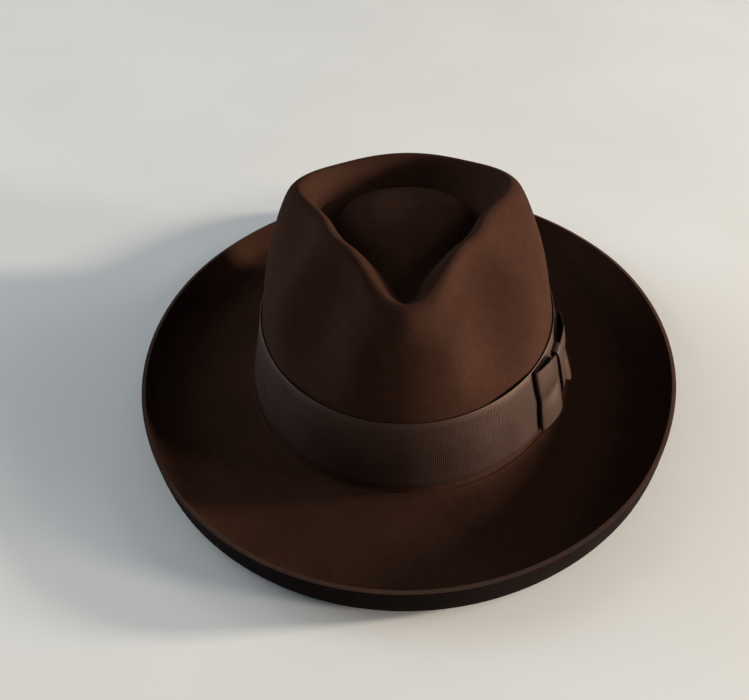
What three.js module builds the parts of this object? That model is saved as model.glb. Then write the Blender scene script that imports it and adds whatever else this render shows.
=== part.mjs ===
// A man's felt fedora standing on its brim, front towards -Y, in millimetres with +Z up.
// The felt is one piece: a brim with a curled-up edge, and a crown that is creased in a teardrop
// on top and pinched on both sides of its front. A ribbon goes round the foot of the crown, and a
// flat bow sits on it on the wearer's left (+X): a folded loop on each side of a narrow knot.
// The origin is on the surface the hat stands on, below the middle of its outline.
import * as THREE from "three";

const FELT = 2.2; // thickness of the felt
const RIBBON = 0.8; // thickness of one layer of ribbon
const GAP = 0.35; // clearance between pieces that lie on each other
const AROUND = 72; // facets round the hat
const FLATTENED = 0.5; // felt lower than this is pressed flat on the surface it stands on

// The blocked felt before it is creased: the ovals of its upper face, from the edge of the brim, in
// and up the crown, over its crest and down to the raised floor of the crease. steps is the number
// of facets to the next oval.
const OVALS = [
  { name: "edge", halfWidth: 144.6, halfLength: 169.2, centreY: 0, height: 16.8, steps: 1 },
  { name: "curl", halfWidth: 142.4, halfLength: 166.8, centreY: 0, height: 8.8, steps: 1 },
  { name: "curl_foot", halfWidth: 138.6, halfLength: 162.8, centreY: 0, height: 4.1, steps: 1 },
  { name: "rest_outer", halfWidth: 131.0, halfLength: 154.4, centreY: 0, height: 2.3, steps: 1 },
  { name: "rest_inner", halfWidth: 119.0, halfLength: 140.5, centreY: 0, height: 2.2, steps: 1 },
  { name: "brim_middle", halfWidth: 105.0, halfLength: 124.5, centreY: 0, height: 4.0, steps: 1 },
  { name: "brim_root", halfWidth: 91.0, halfLength: 108.6, centreY: 0, height: 6.8, steps: 1 },
  { name: "break", halfWidth: 86.6, halfLength: 103.5, centreY: 0, height: 8.9, steps: 1 },
  { name: "foot", halfWidth: 84.9, halfLength: 101.7, centreY: 0, height: 12.8, steps: 3 },
  { name: "ribbon_top", halfWidth: 78.2, halfLength: 97.0, centreY: 0.3, height: 50.0, steps: 2 },
  { name: "middle", halfWidth: 74.2, halfLength: 91.9, centreY: 0, height: 75.3, steps: 2 },
  { name: "upper", halfWidth: 69.2, halfLength: 83.9, centreY: -1.2, height: 95.6, steps: 2 },
  { name: "shoulder", halfWidth: 64.4, halfLength: 72.6, centreY: -5.5, height: 111.6, steps: 1 },
  { name: "crest", halfWidth: 60.4, halfLength: 66.6, centreY: -6.8, height: 116.2, steps: 2 },
  { name: "lip", halfWidth: 56.6, halfLength: 62.4, centreY: -7, height: 115.0, steps: 2 },
  { name: "wall", halfWidth: 50.0, halfLength: 55.0, centreY: -7, height: 105.0, steps: 1 },
  { name: "groove", halfWidth: 41.5, halfLength: 48.5, centreY: -6.5, height: 97.5, steps: 1 },
  { name: "floor", halfWidth: 31.0, halfLength: 36.0, centreY: 2, height: 104.5, steps: 1 },
  { name: "island", halfWidth: 15.0, halfLength: 19.0, centreY: 6, height: 108.0, steps: 1 },
];

// What the hands do to the blocked felt. Each row pushes the felt along a line by the amounts given,
// and less and less beside the line, down to nothing at its reach.
const PRESSES = [
  { name: "side_lift", from: [147, -60, 17], to: [147, 60, 17], by: [-1, 0, 2], reach: 75, mirror: true },
  { name: "top_pinch", from: [54, -27, 114], to: [33, -52, 110], by: [-17, 6, 0], reach: 48, mirror: true },
  { name: "front_pinch", from: [42, -60, 98], to: [50, -74, 76], by: [-7, 8, 0], reach: 34, mirror: true },
  { name: "top_back", from: [-30, 62, 112], to: [30, 62, 112], by: [0, 0, -8], reach: 60, mirror: false },
  { name: "top_front", from: [-6, -73, 112], to: [6, -73, 112], by: [0, -6, -13], reach: 38, mirror: false },
];

const smooth = (share) => share * share * (3 - 2 * share);
const between = (a, b, count) => Array.from({ length: count + 1 }, (_, i) => a + ((b - a) * i) / count);
const vector = (list, side = 1) => new THREE.Vector3(side * list[0], list[1], list[2]);
const spline = (a, b) => new THREE.SplineCurve(OVALS.map((oval) => new THREE.Vector2(oval[a], oval[b])));
const ACROSS = spline("halfWidth", "height");
const ALONG = spline("halfLength", "centreY");
const rowOf = (name) => OVALS.findIndex((oval) => oval.name === name);

// A point of the felt's upper face once it is creased. row counts the ovals, and may lie between
// two of them.
function felt(row, angle) {
  const share = row / (OVALS.length - 1);
  const [across, along] = [ACROSS.getPoint(share), ALONG.getPoint(share)];
  const [x, y] = [across.x * Math.cos(angle), along.y + along.x * Math.sin(angle)];
  const point = new THREE.Vector3(x, y, across.y);
  for (const press of PRESSES) {
    for (const side of press.mirror ? [1, -1] : [1]) {
      const line = new THREE.Line3(vector(press.from, side), vector(press.to, side));
      const nearest = line.closestPointToPoint(point, true, new THREE.Vector3());
      const nearness = Math.max(0, 1 - point.distanceTo(nearest) / press.reach);
      point.addScaledVector(vector(press.by, side), smooth(nearness));
    }
  }
  return point;
}

// A point above the felt, straight out of its upper face
function aboveFelt(row, angle, distance) {
  const [rowStep, angleStep] = [0.05, 0.01];
  const inward = felt(row + rowStep, angle).sub(felt(row - rowStep, angle));
  const round = felt(row, angle + angleStep).sub(felt(row, angle - angleStep));
  return felt(row, angle).addScaledVector(round.cross(inward).normalize(), distance);
}

// A sheet of the given thickness as one closed solid. grid holds the points of one face, and the
// other face lies beside it, on the left of the rows as they follow each other. loop joins the ends
// of each row, and hub closes the last row by a fan round its middle.
function sheet(grid, thickness, { loop = false, hub = false } = {}) {
  const [rows, columns] = [grid.length, grid[0].length];
  const at = (i, j) => {
    const column = loop ? (j + columns) % columns : THREE.MathUtils.clamp(j, 0, columns - 1);
    return grid[THREE.MathUtils.clamp(i, 0, rows - 1)][column];
  };
  const otherFace = grid.map((row, i) =>
    row.map((point, j) => {
      const along = at(i + 1, j).clone().sub(at(i - 1, j));
      const across = at(i, j + 1).clone().sub(at(i, j - 1));
      return point.clone().addScaledVector(along.cross(across).normalize(), thickness);
    }),
  );
  const points = [...grid.flat(), ...otherFace.flat()];
  const other = rows * columns;
  const triangles = [];
  const quad = (a, b, c, d) => triangles.push([a, b, c], [a, c, d]);
  const last = loop ? columns : columns - 1;
  for (let j = 0; j < last; j++) {
    const k = (j + 1) % columns;
    for (let i = 0; i < rows - 1; i++) {
      const [a, b, c, d] = [i * columns + j, i * columns + k, (i + 1) * columns + k, (i + 1) * columns + j];
      quad(a, b, c, d);
      quad(other + a, other + d, other + c, other + b);
    }
    quad(j, other + j, other + k, k);
    const [endJ, endK] = [(rows - 1) * columns + j, (rows - 1) * columns + k];
    if (!hub) quad(endK, other + endK, other + endJ, endJ);
  }
  if (!loop) {
    for (let i = 0; i < rows - 1; i++) {
      const [a, b] = [i * columns, (i + 1) * columns];
      const [c, d] = [a + columns - 1, b + columns - 1];
      quad(a, b, other + b, other + a);
      quad(c, other + c, other + d, d);
    }
  }
  for (const face of hub ? [0, other] : []) {
    const rim = face + (rows - 1) * columns;
    const middle = new THREE.Vector3();
    for (let j = 0; j < columns; j++) middle.addScaledVector(points[rim + j], 1 / columns);
    const centre = points.push(middle) - 1;
    for (let j = 0; j < columns; j++) {
      const pair = [rim + j, rim + ((j + 1) % columns)];
      triangles.push([centre, ...(face ? pair.reverse() : pair)]);
    }
  }
  const geometry = new THREE.BufferGeometry();
  geometry.setAttribute("position", new THREE.Float32BufferAttribute(points.flatMap((p) => p.toArray()), 3));
  geometry.setIndex(triangles.flat());
  return geometry;
}

const ANGLES = between(0, 2 * Math.PI, AROUND).slice(0, -1);

// The felt: crown and brim in one, its underside pressed flat where it stands
function feltBody() {
  const rows = OVALS.flatMap((oval, i) => between(i, i + 1, oval.steps).slice(0, -1));
  const upper = rows.map((row) => ANGLES.map((angle) => felt(row, angle)));
  const geometry = sheet(upper, FELT, { loop: true, hub: true });
  const { position } = geometry.attributes;
  for (let i = 0; i < position.count; i++) {
    if (position.getZ(i) < FLATTENED) position.setZ(i, 0);
  }
  return geometry;
}

// The ribbon round the foot of the crown
const RIBBON_ROWS = { bottom: rowOf("foot"), top: rowOf("ribbon_top") };
const rowUp = (share) => THREE.MathUtils.lerp(RIBBON_ROWS.bottom, RIBBON_ROWS.top, share);

function ribbonBand() {
  const rows = between(1, 0, 3).map(rowUp);
  return sheet(rows.map((row) => ANGLES.map((angle) => aboveFelt(row, angle, GAP))), RIBBON, { loop: true });
}

// The bow lies on the ribbon. A point of it is given by its angle round the hat, its share of the
// height of the ribbon and its distance from the ribbon's face.
const KNOT = -20; // middle of the knot, in degrees from the side towards the back
const LOOP_STEP = 3; // the most degrees that one facet of a loop may span
function onRibbon(degrees, share, distance) {
  return aboveFelt(rowUp(share), THREE.MathUtils.degToRad(degrees), GAP + RIBBON + distance);
}

// The hollow side of one loop of the bow, from below the knot out along the ribbon, round the fold
// and back over itself. along is in degrees from the knot, out in millimetres, height a share of the
// ribbon's; the pleat at mid height goes in by pleat millimetres and back by notch degrees.
const LOOP = [
  { name: "below_knot", along: 0.8, out: 1.2, height: 0.46, pleat: 0, notch: 0 },
  { name: "beside_knot", along: 3.6, out: 1.2, height: 0.5, pleat: 0, notch: 0 },
  { name: "spread", along: 6.5, out: 1.2, height: 0.9, pleat: 0, notch: 0 },
  { name: "lower_end", along: 15.8, out: 1.2, height: 0.96, pleat: 0, notch: 1.0 },
  { name: "fold", along: 16.4, out: 1.75, height: 0.96, pleat: 0, notch: 1.3 },
  { name: "upper_end", along: 15.7, out: 2.4, height: 0.96, pleat: 0.2, notch: 1.0 },
  { name: "rise", along: 13.0, out: 3.4, height: 0.95, pleat: 1.1, notch: 0 },
  { name: "bulge", along: 9.0, out: 4.6, height: 0.94, pleat: 2.0, notch: 0 },
  { name: "gather", along: 5.8, out: 4.4, height: 0.86, pleat: 1.8, notch: 0 },
  { name: "over_knot", along: 3.6, out: 2.2, height: 0.5, pleat: 0.2, notch: 0 },
  { name: "under_wrap", along: 0.8, out: 1.8, height: 0.46, pleat: 0, notch: 0 },
];
// The front loop is longer than the rear one: the share of the table's degrees that each has
const LENGTH = { front: 1.12, rear: 0.82 };

// From the top of the ribbon to its bottom, and how much of the pleat there is at each place
const PLEAT = [
  { up: 1, depth: 0 },
  { up: 0.6, depth: 0.1 },
  { up: 0.2, depth: 0.5 },
  { up: 0, depth: 1 },
  { up: -0.2, depth: 0.5 },
  { up: -0.6, depth: 0.1 },
  { up: -1, depth: 0 },
];

// The rows of a table with others put in between, so that a loop follows the ribbon's curve
function closer(table) {
  const keys = Object.keys(table[0]).filter((key) => key !== "name");
  return table.flatMap((row, i) => {
    const next = table[i + 1] ?? row;
    const parts = Math.max(1, Math.ceil(Math.abs(next.along - row.along) / LOOP_STEP));
    const mix = (share) => keys.map((key) => [key, THREE.MathUtils.lerp(row[key], next[key], share)]);
    return between(0, 1, parts).slice(0, -1).map((share) => Object.fromEntries(mix(share)));
  });
}

function bowLoop(side, length) {
  const grid = closer(LOOP).map(({ along, out, height, pleat, notch }) =>
    PLEAT.map(({ up, depth }) => {
      const degrees = KNOT + side * length * (along - notch * depth);
      return onRibbon(degrees, (1 + side * up * height) / 2, out - pleat * depth);
    }),
  );
  return sheet(grid, RIBBON);
}

// The hollow side of the knot, a narrow strip over the middle of the bow and down to the ribbon
// above and below it. up is a share of half the ribbon's height.
const WRAP = [
  { name: "top_end", up: 0.6, out: 0.4 },
  { name: "top", up: 0.61, out: 2.0 },
  { name: "top_turn", up: 0.55, out: 3.3 },
  { name: "face_top", up: 0.25, out: 3.7 },
  { name: "face_bottom", up: -0.25, out: 3.7 },
  { name: "bottom_turn", up: -0.55, out: 3.3 },
  { name: "bottom", up: -0.61, out: 2.0 },
  { name: "bottom_end", up: -0.6, out: 0.4 },
];
const KNOT_WIDTH = [-2.4, -1.2, 0, 1.2, 2.4];

function bowKnot() {
  const grid = WRAP.map(({ up, out }) =>
    KNOT_WIDTH.map((degrees) => onRibbon(KNOT + degrees, (1 + up) / 2, out)),
  );
  return sheet(grid, RIBBON);
}

const FELT_BROWN = new THREE.MeshStandardMaterial({ color: 0x38221a, roughness: 0.95, metalness: 0 });
const RIBBON_BROWN = new THREE.MeshStandardMaterial({ color: 0x54382e, roughness: 0.6, metalness: 0 });

const hat = new THREE.Group();
function add(name, geometry, material) {
  const mesh = new THREE.Mesh(geometry, material);
  mesh.name = name;
  hat.add(mesh);
}

add("felt_body", feltBody(), FELT_BROWN);
add("ribbon_band", ribbonBand(), RIBBON_BROWN);
add("bow_front_loop", bowLoop(-1, LENGTH.front), RIBBON_BROWN.clone());
add("bow_rear_loop", bowLoop(1, LENGTH.rear), RIBBON_BROWN.clone());
add("bow_knot", bowKnot(), RIBBON_BROWN.clone());

export default hat;
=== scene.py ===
import math

import bmesh
import bpy
from mathutils import Matrix, Vector


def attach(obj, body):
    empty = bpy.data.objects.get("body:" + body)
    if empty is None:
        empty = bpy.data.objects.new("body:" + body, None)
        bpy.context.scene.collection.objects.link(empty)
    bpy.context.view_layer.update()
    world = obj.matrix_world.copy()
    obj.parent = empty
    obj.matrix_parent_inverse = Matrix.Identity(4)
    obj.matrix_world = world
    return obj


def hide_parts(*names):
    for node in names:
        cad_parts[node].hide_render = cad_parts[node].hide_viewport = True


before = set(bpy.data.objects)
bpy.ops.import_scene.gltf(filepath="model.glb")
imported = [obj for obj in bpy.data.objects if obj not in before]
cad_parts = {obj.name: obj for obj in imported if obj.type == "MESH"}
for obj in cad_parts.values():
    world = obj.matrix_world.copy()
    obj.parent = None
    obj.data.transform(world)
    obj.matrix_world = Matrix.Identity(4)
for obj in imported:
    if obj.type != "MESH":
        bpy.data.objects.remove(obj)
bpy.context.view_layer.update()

# The felt: crown and brim in one piece of fur felt, blocked wet over a wooden form while its edge
# was turned up over a curling iron. By hand it got a teardrop crease on top and a pinch on both
# sides of the front. It stands on the underside of its brim.
MM = 0.001
FELT = 2.2 * MM  # thickness
AROUND = 180  # points round the hat
ROWS_BETWEEN = 4  # rows of points from one oval to the next
FINGERTIP = 1 * MM  # distance between the points by which the hands push the felt
EDGE_TILT = math.radians(0.5)  # the edge of the brim stands higher in front than at the back
EDGE_BACK = (0, 169 * MM, 16.8 * MM)  # where the edge keeps its height
EDGE_FROM = 12 * MM  # the curl is tilted above this height
EDGE_REACH = 9 * MM  # how far below it the felt still follows
CROWN_CLEAR = 125 * MM  # nothing of the crown is this far from the middle
FLATTENED = 0.5 * MM  # felt lower than this is pressed flat on the table
SHARP = math.radians(50)  # faces that meet at more than this show an edge between them

# Ovals of the felt's upper face, from the edge of the brim in and up the crown, over its crest and
# down to the raised floor of the crease: half width, half length, middle towards the back, height
OVALS = {
    "edge": (144.6, 169.9, -0.7, 16.8),
    "curl": (142.8, 168.2, -1.2, 8.8),
    "curl_foot": (139.8, 164.7, -1.5, 4.1),
    "rest_outer": (131.5, 155.4, -1.0, 2.3),
    "rest_inner": (119.0, 140.5, 0, 2.2),
    "brim_middle": (105.0, 124.5, 0, 4.0),
    "brim_root": (91.0, 108.6, 0, 6.8),
    "break": (86.6, 103.5, 0, 8.9),
    "foot": (84.9, 101.7, 0, 12.8),
    "ribbon_top": (78.2, 97.0, 0.3, 50.0),
    "middle": (74.2, 91.9, 0, 75.3),
    "upper": (69.2, 83.9, -1.2, 95.6),
    "shoulder": (64.4, 72.6, -5.5, 111.6),
    "crest": (60.4, 66.6, -6.8, 116.2),
    "lip": (56.6, 62.4, -7.0, 115.0),
    "wall": (50.0, 55.0, -7.0, 105.0),
    "groove": (41.5, 48.5, -6.5, 97.5),
    "floor": (31.0, 36.0, 2.0, 104.5),
    "island": (15.0, 19.0, 6, 108.0),
}

# Where the hands press the blocked felt: a line from one place to another, the way it is pushed,
# how far round the line the push is felt, and whether the other side of the hat gets it too
PRESSES = {
    "side_lift": ((147, -60, 17), (147, 60, 17), (-1, 0, 2), 75, True),
    "top_pinch": ((54, -27, 114), (33, -52, 110), (-17, 6, 0), 48, True),
    "front_pinch": ((42, -60, 98), (50, -74, 76), (-7, 8, 0), 34, True),
    "top_back": ((-30, 62, 112), (30, 62, 112), (0, 0, -8), 60, False),
    "top_front": ((-6, -73, 112), (6, -73, 112), (0, -6, -13), 38, False),
}


def oval_at(row):
    """The oval at a row that may lie between two of the table's, in metres, on a smooth curve"""
    ovals = list(OVALS.values())
    i = min(int(row), len(ovals) - 2)
    t = row - i
    before, here, after, beyond = (ovals[min(max(i + k, 0), len(ovals) - 1)] for k in (-1, 0, 1, 2))
    if i == 0:
        before = here
    values = []
    for p0, p1, p2, p3 in zip(before, here, after, beyond):
        v0, v1 = (p2 - p0) / 2, (p3 - p1) / 2
        cubic = 2 * p1 - 2 * p2 + v0 + v1
        square = 3 * p2 - 3 * p1 - 2 * v0 - v1
        values.append((cubic * t**3 + square * t**2 + v0 * t + p1) * MM)
    return values


def let_go(mesh):
    """Leaves nothing of a mesh in edit mode selected"""
    for part in [*mesh.verts, *mesh.edges, *mesh.faces]:
        part.select_set(False)


def pick(piece, wanted):
    """Selects those points of a piece in edit mode whose place is wanted"""
    mesh = bmesh.from_edit_mesh(piece.data)
    let_go(mesh)
    for vert in mesh.verts:
        if wanted(vert.co):
            vert.select_set(True)
    mesh.select_flush(True)
    bmesh.update_edit_mesh(piece.data)


def finish_with(piece, kind, **settings):
    """Adds a modifier with its settings and applies it"""
    modifier = piece.modifiers.new(kind.lower(), kind)
    for name, value in settings.items():
        setattr(modifier, name, value)
    bpy.context.view_layer.objects.active = piece
    bpy.ops.object.modifier_apply(modifier=modifier.name)


def press(piece, start, end, by, reach):
    """Pushes the felt along a line, less and less beside it. Loose points on the line carry the
    push to the felt around them, and are then deleted."""
    start, end = Vector(start) * MM, Vector(end) * MM
    mesh = bmesh.from_edit_mesh(piece.data)
    fingers = max(2, round((end - start).length / FINGERTIP))
    for i in range(fingers + 1):
        mesh.verts.new(start.lerp(end, i / fingers))
    bmesh.update_edit_mesh(piece.data)
    mesh.verts.ensure_lookup_table()
    let_go(mesh)
    for vert in mesh.verts[-fingers - 1 :]:
        vert.select_set(True)
    bmesh.update_edit_mesh(piece.data)
    bpy.ops.transform.translate(
        value=Vector(by) * MM,
        use_proportional_edit=True,
        proportional_edit_falloff="SMOOTH",
        proportional_size=reach * MM,
    )
    bpy.ops.mesh.delete(type="VERT")


# The sheet is drawn in and up from the edge of the brim, oval by oval, and closed in the middle
bpy.ops.object.select_all(action="DESELECT")
half_width, half_length, middle, height = oval_at(0)
bpy.ops.mesh.primitive_circle_add(vertices=AROUND, radius=half_width, location=(0, 0, 0))
felt = bpy.context.object
felt.name = "felt_crown_and_brim"
bpy.ops.object.mode_set(mode="EDIT")
bpy.ops.transform.resize(value=(1, half_length / half_width, 1), center_override=(0, 0, 0))
bpy.ops.transform.translate(value=(0, middle, height))
for step in range(1, (len(OVALS) - 1) * ROWS_BETWEEN + 1):
    last_width, last_length, last_middle, last_height = half_width, half_length, middle, height
    half_width, half_length, middle, height = oval_at(step / ROWS_BETWEEN)
    bpy.ops.mesh.extrude_region_move(
        TRANSFORM_OT_translate={"value": (0, middle - last_middle, height - last_height)}
    )
    bpy.ops.transform.resize(
        value=(half_width / last_width, half_length / last_length, 1),
        center_override=(0, middle, height),
    )
bpy.ops.mesh.extrude_region_move()
bpy.ops.mesh.merge(type="CENTER")
bpy.ops.mesh.select_all(action="SELECT")
bpy.ops.mesh.normals_make_consistent(inside=True)
# Then it is pressed, and the edge is tilted
for start, end, by, reach, both in PRESSES.values():
    press(felt, start, end, by, reach)
    if both:
        press(felt, *((-x, y, z) for x, y, z in (start, end, by)), reach)
pick(felt, lambda place: place.z > EDGE_FROM and math.hypot(place.x, place.y) > CROWN_CLEAR)
bpy.ops.transform.rotate(
    value=EDGE_TILT,
    orient_axis="X",
    center_override=EDGE_BACK,
    use_proportional_edit=True,
    proportional_edit_falloff="SMOOTH",
    proportional_size=EDGE_REACH,
)
bpy.ops.object.mode_set(mode="OBJECT")


class Shade:
    """A socket of a finish that is being mixed. Arithmetic on it adds Math nodes."""

    def __init__(self, tree, socket=None):
        self.tree, self.socket = tree, socket

    def add(self, kind, settings=None, sockets=None, output=0):
        """Adds a node: its settings are set first, then its sockets get values or links"""
        node = self.tree.nodes.new("ShaderNode" + kind)
        for name, value in (settings or {}).items():
            if name == "stops":
                ramp = node.color_ramp.elements
                for _ in value[len(ramp) :]:
                    ramp.new(0.5)
                for stop, (place, colour) in zip(ramp, value):
                    stop.position, stop.color = place, (*colour, 1)
            else:
                setattr(node, name, value)
        for name, value in (sockets or {}).items():
            if isinstance(value, Shade):
                self.tree.links.new(value.socket, node.inputs[name])
            else:
                node.inputs[name].default_value = value
        return Shade(self.tree, node.outputs[output] if node.outputs else None)

    def maths(self, operation, first, second):
        return self.add("Math", {"operation": operation}, {0: first, 1: second})

    def __add__(self, other):
        return self.maths("ADD", self, other)

    def __radd__(self, other):
        return self.maths("ADD", other, self)

    def __sub__(self, other):
        return self.maths("SUBTRACT", self, other)

    def __rsub__(self, other):
        return self.maths("SUBTRACT", other, self)

    def __mul__(self, other):
        return self.maths("MULTIPLY", self, other)

    def __rmul__(self, other):
        return self.maths("MULTIPLY", other, self)


def new_finish(name):
    """An empty material, and the start of its nodes"""
    material = bpy.data.materials.new(name)
    material.use_nodes = True
    material.node_tree.nodes.clear()
    return material, Shade(material.node_tree)


def felt_finish(name, dark, light, sheen):
    """Fur felt: short fibres that lie all ways, in a brown that is never quite even. It is cloudy
    over 36 mm, mottled over 4 mm, and its curled fibres and hairs are about 1 mm long."""
    material, start = new_finish(name)
    place = start.add("TexCoord", output="Object")
    cloudy = start.add("TexNoise", sockets={"Vector": place, "Scale": 28, "Detail": 3})
    mottled = start.add(
        "TexNoise", sockets={"Vector": place, "Scale": 260, "Detail": 3, "Roughness": 0.6}
    )
    fibres = start.add(
        "TexNoise",
        sockets={"Vector": place, "Scale": 900, "Detail": 4, "Roughness": 0.7, "Distortion": 2.5},
    )
    hairs = start.add(
        "TexNoise",
        {"noise_type": "RIDGED_MULTIFRACTAL", "normalize": True},
        {"Vector": place, "Scale": 700, "Detail": 3, "Distortion": 1.5},
    )
    shade = cloudy * 0.35 + mottled * 0.3 + fibres * 0.2 + hairs * 0.15
    colour = start.add("ValToRGB", {"stops": [(0.3, dark), (0.62, light)]}, {"Fac": shade})
    relief = mottled * 0.3 + fibres * 0.4 + hairs * 0.3
    bump = start.add("Bump", sockets={"Height": relief, "Distance": 0.45 * MM, "Strength": 0.85})
    felted = start.add(
        "BsdfPrincipled",
        sockets={
            "Base Color": colour,
            "Roughness": 0.86 + fibres * 0.12,
            "Specular IOR Level": 0.05,
            "Sheen Weight": sheen,
            "Sheen Roughness": 0.5,
            "Sheen Tint": (0.6, 0.25, 0.15, 1),
            "Normal": bump,
        },
    )
    start.add("OutputMaterial", sockets={"Surface": felted})
    return material


# Its upper face is brushed. Its cut edge is paler, partly for its paler cut fibres and partly as a
# painted highlight of the light line along the edge. Its lower face is painted far darker, as
# painted shade for the shade under the brim's curl and inside the crown.
# For each: the dark and the light colour that it is mottled with, and the sheen of its fibres.
# All three are on the sheet before it gets its thickness, so that its edge can take the second and
# its lower face the third.
FELT_FINISHES = {
    "brown_felt": ((0.024, 0.0092, 0.005), (0.041, 0.0165, 0.0095), 0.02),
    # paler, partly for its cut fibres and partly as a painted highlight of the light line along the
    # edge
    "cut_felt_and_painted_highlight": ((0.03, 0.016, 0.012), (0.055, 0.031, 0.023), 0.1),
    # painted shade: far darker than the felt, for the shade under the brim and inside the crown
    "under_felt_painted_shade": ((0.005, 0.0025, 0.0018), (0.009, 0.0045, 0.0035), 0),
}
for name, (dark, light, sheen) in FELT_FINISHES.items():
    felt.data.materials.append(felt_finish(name, dark, light, sheen))
CUT_AND_PAINTED_HIGHLIGHT, UNDER_PAINTED_SHADE = 1, 2  # counted from 0
# The edge takes the paler finish with its painted highlight, the lower face the painted shade
finish_with(
    felt, "SOLIDIFY", thickness=FELT, offset=-1, material_offset_rim=CUT_AND_PAINTED_HIGHLIGHT, material_offset=UNDER_PAINTED_SHADE
)
bpy.ops.object.mode_set(mode="EDIT")
pick(felt, lambda place: place.z < FLATTENED)
bpy.ops.transform.resize(value=(1, 1, 0), center_override=(0, 0, 0))
bpy.ops.object.mode_set(mode="OBJECT")
# The corners of the cut edge are worn round
finish_with(
    felt, "BEVEL", limit_method="ANGLE", angle_limit=math.radians(60), width=0.5 * MM, segments=3
)
bpy.ops.object.shade_smooth_by_angle(angle=SHARP)
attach(felt, "root")
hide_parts("felt_body")

# The ribbon: a grosgrain ribbon 38 mm wide and 0.8 mm thick, drawn tight round the foot of the
# crown. Its ribs stand upright. Its ends meet under the bow, where it is tacked to the felt.
RIBBON = 0.8 * MM  # thickness of one layer
RIBBON_WIDTH = 37.8 * MM
RIB = 0.9 * MM  # from one rib to the next
SELVEDGE = (17.2 * MM, 18.6 * MM)  # from its middle: where its edge starts and is fully dark
GAP = 0.35 * MM  # air between layers that lie on each other
RIBBON_ROWS = [list(OVALS).index(name) for name in ("foot", "ribbon_top")]
KNOT = -20  # degrees from the hat's left side towards its back to the middle of the bow


def on_ribbon(degrees, up, out):
    """A place on the ribbon: degrees round the hat, up it from -1 to 1, and out from the felt"""
    bottom, top = RIBBON_ROWS
    row = bottom + (top - bottom) * (1 + up) / 2

    def place(row, degrees):
        half_width, half_length, middle, height = oval_at(row)
        angle = math.radians(degrees)
        to_side, to_back = half_width * math.cos(angle), half_length * math.sin(angle)
        return Vector((to_side, middle + to_back, height))

    # The felt's slope, from places a little above, below and on both sides of this one
    a_row, a_turn = 0.05, 0.5
    inward = place(row + a_row, degrees) - place(row - a_row, degrees)
    round_it = place(row, degrees + a_turn) - place(row, degrees - a_turn)
    return place(row, degrees) + round_it.cross(inward).normalized() * out


def ribbon_length(degrees):
    """Length of the ribbon from the hat's left side to so many degrees round, in short steps"""
    half_width, half_length, _, _ = oval_at(sum(RIBBON_ROWS) / 2)
    steps = 24
    total = 0
    for i in range(steps):
        angle = math.radians(degrees) * (i + 0.5) / steps
        total += math.hypot(half_width * math.sin(angle), half_length * math.cos(angle))
    return total * math.radians(degrees) / steps


def lay_on_ribbon(piece, ribs_upright=True):
    """Wraps a flat piece round the crown. Flat, its x is degrees, y is up the ribbon from -1 to 1
    and z is millimetres out. Its UV map keeps the ribbon's own lengths in metres."""
    mesh = piece.data
    uv = mesh.uv_layers.active or mesh.uv_layers.new(name="ribbon")
    for loop in mesh.loops:
        x, y, _ = mesh.vertices[loop.vertex_index].co
        along, across = ribbon_length(x), y * RIBBON_WIDTH / 2
        uv.data[loop.index].uv = (along, across) if ribs_upright else (across, along)
    for vert in mesh.vertices:
        x, y, z = vert.co
        vert.co = on_ribbon(x, y, z * MM)


def flat_grid(name, start, end, columns, rows):
    """A flat strip of ribbon from one number of degrees to another"""
    bpy.ops.object.select_all(action="DESELECT")
    bpy.ops.mesh.primitive_grid_add(x_subdivisions=columns, y_subdivisions=rows, size=2)
    piece = bpy.context.object
    piece.name = name
    bpy.ops.object.mode_set(mode="EDIT")
    bpy.ops.transform.resize(value=((end - start) / 2, 1, 1), center_override=(0, 0, 0))
    bpy.ops.transform.translate(value=((start + end) / 2, 0, 0))
    bpy.ops.object.mode_set(mode="OBJECT")
    return piece


band = flat_grid("ribbon_round_crown", KNOT, KNOT + 360, columns=240, rows=8)
bpy.ops.object.mode_set(mode="EDIT")
bpy.ops.transform.translate(value=(0, 0, GAP / MM))
bpy.ops.object.mode_set(mode="OBJECT")
lay_on_ribbon(band)
# Its two ends meet, and are joined
bpy.ops.object.mode_set(mode="EDIT")
bpy.ops.mesh.select_all(action="SELECT")
bpy.ops.mesh.remove_doubles(threshold=0.01 * MM)
bpy.ops.mesh.normals_make_consistent(inside=False)
bpy.ops.object.mode_set(mode="OBJECT")
finish_with(band, "SOLIDIFY", thickness=RIBBON, offset=1)
finish_with(band, "BEVEL", limit_method="ANGLE", width=0.2 * MM, segments=2)
bpy.ops.object.shade_smooth_by_angle(angle=SHARP)


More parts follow.
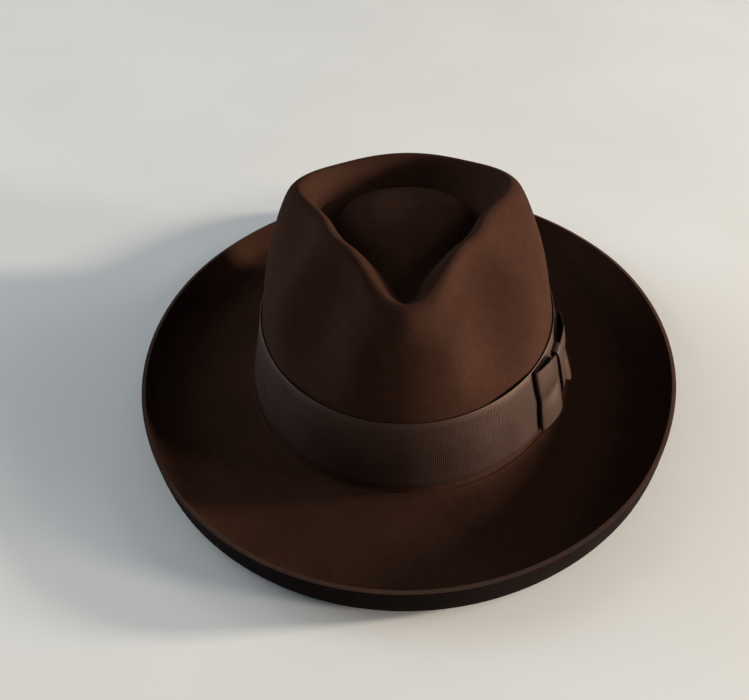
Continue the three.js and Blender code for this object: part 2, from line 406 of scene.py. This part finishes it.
def ribbon_finish(name):
    """Grosgrain: silky ribs across the ribbon, which aren't quite straight, and a tighter, darker
    edge. Its threads are 0.4 mm thick, and it is uneven over 22 mm."""
    material, start = new_finish(name)
    flat = start.add("UVMap")
    along = start.add("SeparateXYZ", sockets={"Vector": flat}, output="X")
    across = start.add("SeparateXYZ", sockets={"Vector": flat}, output="Y")
    place = start.add("TexCoord", output="Object")
    threads = start.add("TexNoise", sockets={"Vector": place, "Scale": 2400, "Detail": 1})
    uneven = start.add("TexNoise", sockets={"Vector": place, "Scale": 45, "Detail": 3})
    wander = uneven * (2 * MM) + threads * (0.12 * MM)
    ribs = start.add("Math", {"operation": "SINE"}, {0: (along + wander) * (2 * math.pi / RIB)})
    edge = start.add(
        "MapRange",
        sockets={
            "Value": start.add("Math", {"operation": "ABSOLUTE"}, {0: across}),
            "From Min": SELVEDGE[0],
            "From Max": SELVEDGE[1],
        },
    )
    shade = uneven * 0.6 + threads * 0.2 + ribs * 0.08 + 0.1 - edge * 0.2
    colour = start.add(
        "ValToRGB",
        {"stops": [(0.25, (0.0135, 0.0065, 0.005)), (0.75, (0.0265, 0.0128, 0.0097))]},
        {"Fac": shade},
    )
    bump = start.add(
        "Bump",
        sockets={"Height": ribs * 0.5 + threads * 0.5, "Distance": 0.12 * MM, "Strength": 0.6},
    )
    woven = start.add(
        "BsdfPrincipled",
        sockets={
            "Base Color": colour,
            "Roughness": 0.42 + uneven * 0.16,
            "Specular IOR Level": 0.55,
            "Specular Tint": (1, 0.62, 0.47, 1),
            "Sheen Weight": 0.03,
            "Sheen Roughness": 0.35,
            "Sheen Tint": (0.85, 0.6, 0.5, 1),
            "Normal": bump,
        },
    )
    start.add("OutputMaterial", sockets={"Surface": woven})
    return material


grosgrain = ribbon_finish("brown_grosgrain")
band.data.materials.append(grosgrain)
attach(band, "root")
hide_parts("ribbon_band")

# The bow's loops: the same ribbon, folded back over itself on each side of the knot, flat on the
# band. Each has a pleat along its middle that draws a notch into its folded end.
# Degrees from the knot, millimetres out, half height, depth of the pleat, degrees of the notch
LOOP = [
    (0.8, 1.2, 0.46, 0, 0),
    (3.6, 1.2, 0.50, 0, 0),
    (6.5, 1.2, 0.90, 0, 0),
    (11.0, 1.2, 0.95, 0, 0),
    (15.8, 1.2, 0.96, 0, 1.0),
    (16.4, 1.75, 0.96, 0, 1.3),
    (15.7, 2.4, 0.96, 0.3, 1.0),
    (13.0, 3.4, 0.95, 1.2, 0),
    (9.0, 4.6, 0.94, 2.2, 0),
    (5.8, 4.6, 0.86, 2.0, 0),
    (3.6, 2.2, 0.50, 0.2, 0),
    (0.8, 1.8, 0.46, 0, 0),
]
ON_BAND = (GAP + RIBBON) / MM  # millimetres from the felt to the outer face of the band


def fold_loop(name, side, length, node):
    """One loop, drawn out row by row from below the knot, round the fold and back. It lies in front
    of the knot if side is -1 and behind it if side is 1. Its length is a share of the table's, and
    it takes a piece of ribbon cut so long."""
    reach = side * length
    along, out, height, _, _ = LOOP[0]
    start = 0.5  # degrees: only the far end of this short strip stays, as the first row
    piece = flat_grid(name, 0, start, columns=1, rows=10)
    bpy.ops.object.mode_set(mode="EDIT")
    pick(piece, lambda place: place.x < start / 2)
    bpy.ops.mesh.delete(type="VERT")
    bpy.ops.mesh.select_all(action="SELECT")
    bpy.ops.transform.resize(value=(1, height, 1), center_override=(0, 0, 0))
    bpy.ops.transform.translate(value=(KNOT + reach * along - start, 0, out + ON_BAND))
    for here, there in zip(LOOP, LOOP[1:]):
        along, out, _, deeper, notch = (b - a for a, b in zip(here, there))
        wider = there[2] / here[2]
        bpy.ops.mesh.extrude_region_move(TRANSFORM_OT_translate={"value": (reach * along, 0, out)})
        bpy.ops.transform.resize(value=(1, wider, 1), center_override=(0, 0, 0))
        # The pleat and the notch are deepest on the middle line and fade towards the edges
        mesh = bmesh.from_edit_mesh(piece.data)
        for vert in mesh.verts:
            if vert.select:
                creased = (1 - abs(vert.co.y) / there[2]) ** 3
                vert.co -= Vector((reach * notch, 0, deeper)) * creased
        bmesh.update_edit_mesh(piece.data)
    bpy.ops.object.mode_set(mode="OBJECT")
    finish_with(piece, "SUBSURF", levels=2, render_levels=2)
    lay_on_ribbon(piece)
    finish_with(piece, "SOLIDIFY", thickness=RIBBON, offset=side)
    bpy.ops.object.shade_smooth_by_angle(angle=SHARP)
    piece.data.materials.append(grosgrain)
    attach(piece, "root")
    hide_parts(node)


fold_loop("bow_loop_front", -1, 1.12, "bow_front_loop")
fold_loop("bow_loop_rear", 1, 0.82, "bow_rear_loop")

# The knot: a short piece of the same ribbon, folded narrow and wrapped over the middle of the bow,
# its ends tucked in above and below and sewn down.
# Half heights up the ribbon and millimetres out, from its upper end over the face to its lower end
WRAP = [
    (0.60, 0.4),
    (0.61, 2.0),
    (0.55, 3.4),
    (0.25, 3.8),
    (-0.25, 3.8),
    (-0.55, 3.4),
    (-0.61, 2.0),
    (-0.60, 0.4),
]
HALF_KNOT = 2.4  # degrees from its middle to its side

knot = flat_grid("bow_knot_wrap", KNOT + HALF_KNOT, KNOT - HALF_KNOT, columns=8, rows=1)
bpy.ops.object.mode_set(mode="EDIT")
# Only the upper edge of this flat piece stays, and is drawn down over the bow
pick(knot, lambda place: place.y < 0)
bpy.ops.mesh.delete(type="VERT")
bpy.ops.mesh.select_all(action="SELECT")
bpy.ops.transform.translate(value=(0, WRAP[0][0] - 1, WRAP[0][1] + ON_BAND))
for here, there in zip(WRAP, WRAP[1:]):
    bpy.ops.mesh.extrude_region_move(
        TRANSFORM_OT_translate={"value": (0, there[0] - here[0], there[1] - here[1])}
    )
bpy.ops.object.mode_set(mode="OBJECT")
finish_with(knot, "SUBSURF", levels=2, render_levels=2)
lay_on_ribbon(knot, ribs_upright=False)
finish_with(knot, "SOLIDIFY", thickness=RIBBON, offset=-1)
bpy.ops.object.shade_smooth_by_angle(angle=SHARP)
knot.data.materials.append(grosgrain)
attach(knot, "root")
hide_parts("bow_knot")

# The floor: a plain pale table top, painted and very slightly cloudy. The hat stands on it, and it
# catches the hat's shadow.
bpy.ops.object.select_all(action="DESELECT")
bpy.ops.mesh.primitive_plane_add(size=8, location=(0, 0, 0))
floor = bpy.context.object
floor.name = "floor"
table_top, start = new_finish("pale_table")
place = start.add("TexCoord", output="Object")
soft = start.add("TexNoise", sockets={"Vector": place, "Scale": 6})
pale = start.add(
    "ValToRGB", {"stops": [(0.3, (0.83, 0.81, 0.77)), (0.7, (0.88, 0.86, 0.825))]}, {"Fac": soft}
)
painted = start.add("BsdfPrincipled", sockets={"Base Color": pale, "Roughness": 0.5})
start.add("OutputMaterial", sockets={"Surface": painted})
floor.data.materials.append(table_top)

# The light: a low sun through a window on the hat's left, the window's own soft light above it,
# and what pale walls send back from the other side
HAT_MIDDLE = Vector((0, 0, 0.05))


def soft_box(name, azimuth, elevation, distance, size, power, colour):
    """A square lamp that looks at the hat. It stands so many degrees round from the hat's left
    side, so many degrees up and so many metres away."""
    azimuth, elevation = math.radians(azimuth), math.radians(elevation)
    level = math.cos(elevation)
    direction = Vector((level * math.cos(azimuth), level * math.sin(azimuth), math.sin(elevation)))
    lamp = bpy.data.lights.new(name, "AREA")
    lamp.size, lamp.energy, lamp.color = size, power, colour
    holder = bpy.data.objects.new(name, lamp)
    bpy.context.scene.collection.objects.link(holder)
    holder.location = direction * distance + HAT_MIDDLE
    holder.rotation_euler = direction.to_track_quat("Z", "Y").to_euler()


soft_box("low_sun", 0, 9.5, 3.0, 0.3, 145, (1, 0.9, 0.76))
soft_box("low_sun_edge", -20, 9.5, 2.5, 0.35, 45, (1, 0.9, 0.78))
soft_box("window", 2, 30, 2.5, 0.8, 12, (1, 0.95, 0.9))
soft_box("bounce", 160, 22, 2.0, 1.6, 24, (0.85, 0.93, 1))
world = bpy.data.worlds.new("studio")
bpy.context.scene.world = world
world.use_nodes = True
sky = world.node_tree.nodes["Background"]
sky.inputs["Color"].default_value = (0.8, 0.9, 1, 1)
sky.inputs["Strength"].default_value = 0.2
bpy.context.scene.view_settings.view_transform = "Standard"

# The camera, where the photograph was taken: in front of the hat and above it. The photograph is
# cut from a larger picture, so the lens doesn't look at its middle.
AZIMUTH, ELEVATION, ROLL = 0.011, 0.637, -0.025  # radians
DISTANCE, SENSOR = 0.5976, 36  # metres, millimetres
FOCAL_PIXELS, MIDDLE_PIXELS = 1099, (406.9, 301.6)  # focal length, and where the lens looks
WIDTH, HEIGHT = 749, 700  # of the photograph, in pixels
level = math.cos(ELEVATION)
back = Vector((math.sin(AZIMUTH) * level, -math.cos(AZIMUTH) * level, math.sin(ELEVATION)))
right = Vector((math.cos(AZIMUTH), math.sin(AZIMUTH), 0))
up = back.cross(right)
across = right * math.cos(ROLL) + up * math.sin(ROLL)
upward = up * math.cos(ROLL) - right * math.sin(ROLL)
lens = bpy.data.cameras.new("camera")
camera = bpy.data.objects.new("camera", lens)
bpy.context.scene.collection.objects.link(camera)
camera.matrix_world = Matrix.Translation(HAT_MIDDLE + back * DISTANCE) @ Matrix(
    (across, upward, back)
).transposed().to_4x4()
lens.sensor_width, lens.lens = SENSOR, FOCAL_PIXELS / WIDTH * SENSOR
lens.shift_x = (WIDTH / 2 - MIDDLE_PIXELS[0]) / WIDTH
lens.shift_y = (MIDDLE_PIXELS[1] - HEIGHT / 2) / WIDTH
bpy.context.scene.camera = camera
